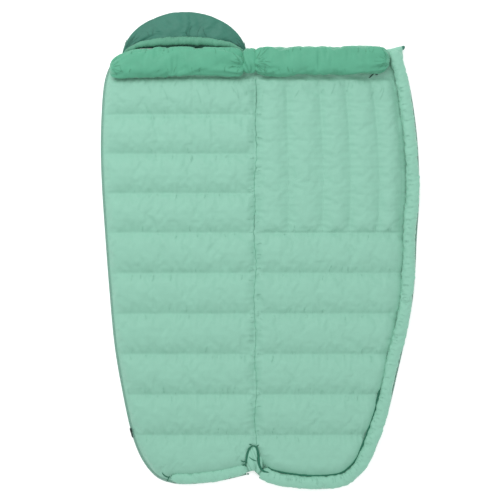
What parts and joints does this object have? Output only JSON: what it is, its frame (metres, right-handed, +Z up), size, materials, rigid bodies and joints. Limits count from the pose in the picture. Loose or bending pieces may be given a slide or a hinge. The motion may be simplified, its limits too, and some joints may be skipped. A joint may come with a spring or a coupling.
{
  "type": "camp quilt",
  "caption": "Down sleeping bag unzipped and laid open flat as a quilt, with baffled chambers, rolled collars, a folded hood, a draft tube and a full-length separating zip.",
  "frame": {"origin": "middle of the footprint's box, on the ground", "axes": "+Y to the head end and the hood, +Z up out of the lining, +X to the front panel with the draft tube"},
  "size_m": [1.332, 1.9994, 0.0903],
  "materials": {
    "lining_cloth": "satin",
    "shell_cloth": "satin",
    "collar_cloth": "satin",
    "hood_cloth": "satin",
    "baffle_mesh": "matte",
    "down": "matte",
    "zip_tape": "matte",
    "zip_coil": "satin",
    "dark_plastic": "satin",
    "dark_cord": "matte",
    "spring_steel": "satin"
  },
  "bodies": {
    "back_panel": {"left_shell": "shell_cloth", "left_lining": "lining_cloth", "left_baffle_walls": "baffle_mesh", "left_down_01": "down", "left_down_02": "down", "left_down_03": "down", "left_down_04": "down", "left_down_05": "down", "left_down_06": "down", "left_down_07": "down", "left_down_08": "down", "left_down_09": "down", "left_down_10": "down", "left_yoke_down": "down", "zip_coil_left": "zip_coil", "zip_tape_left": "zip_tape", "zip_box": "dark_plastic", "foot_hem_casing": "lining_cloth", "foot_hem_down": "down", "foot_gather_left": "lining_cloth", "collar_left_casing": "collar_cloth", "collar_left_down": "down", "collar_gather": "collar_cloth"},
    "front_panel": {"right_shell": "shell_cloth", "right_lining": "lining_cloth", "right_baffle_walls": "baffle_mesh", "right_down_lower_1": "down", "right_down_lower_2": "down", "right_down_lower_3": "down", "right_down_lower_4": "down", "right_down_lower_5": "down", "right_down_lower_6": "down", "right_down_chest_1": "down", "right_down_chest_2": "down", "right_down_chest_3": "down", "right_down_chest_4": "down", "right_down_chest_5": "down", "right_yoke_down": "down", "zip_coil_right": "zip_coil", "zip_tape_right": "zip_tape", "zip_pin": "dark_plastic", "draft_tube_casing": "lining_cloth", "draft_tube_down": "down", "foot_gather_right": "lining_cloth", "collar_right_casing": "collar_cloth", "collar_right_down": "down", "cord_lock_body": "dark_plastic", "cord_lock_spring": "spring_steel", "collar_drawcord": "dark_cord", "collar_cord_tail": "dark_cord", "corner_tab": "shell_cloth"},
    "hood": {"hood_shell": "hood_cloth", "hood_down": "down", "hood_lining": "collar_cloth", "hood_rim": "collar_cloth", "hood_drawcord": "dark_cord"},
    "zip_slider": {"zip_slider": "dark_plastic"},
    "zip_pull": {"zip_pull": "dark_plastic"},
    "cord_lock_plunger": {"cord_lock_plunger": "dark_plastic"}
  },
  "joints": [
    {"name": "quilt_fold", "type": "hinge", "parent": "back_panel", "child": "front_panel", "pos_m": [-0.02098, 0, 0.0945], "axis": [0, -1, 0], "range_deg": [0, 178]},
    {"name": "hood_fold", "type": "hinge", "parent": "back_panel", "child": "hood", "pos_m": [-0.318, 0.84603, 0.0345], "axis": [1, 0, 0], "range_deg": [0, 90]},
    {"name": "zip_travel", "type": "slide", "parent": "back_panel", "child": "zip_slider", "axis": [-0.2613, 0.9653, 0], "range_m": [0, 0.1]},
    {"name": "zip_pull_swing", "type": "hinge", "parent": "zip_slider", "child": "zip_pull", "pos_m": [-0.53949, -0.75259, 0.0138], "axis": [-0.9653, -0.2613, 0], "range_deg": [0, 170]},
    {"name": "cord_lock_press", "type": "slide", "parent": "front_panel", "child": "cord_lock_plunger", "axis": [0, -1, 0], "range_m": [0, 0.002], "stiffness_N_per_m": 200, "deforming": ["cord_lock_spring"]}
  ]
}
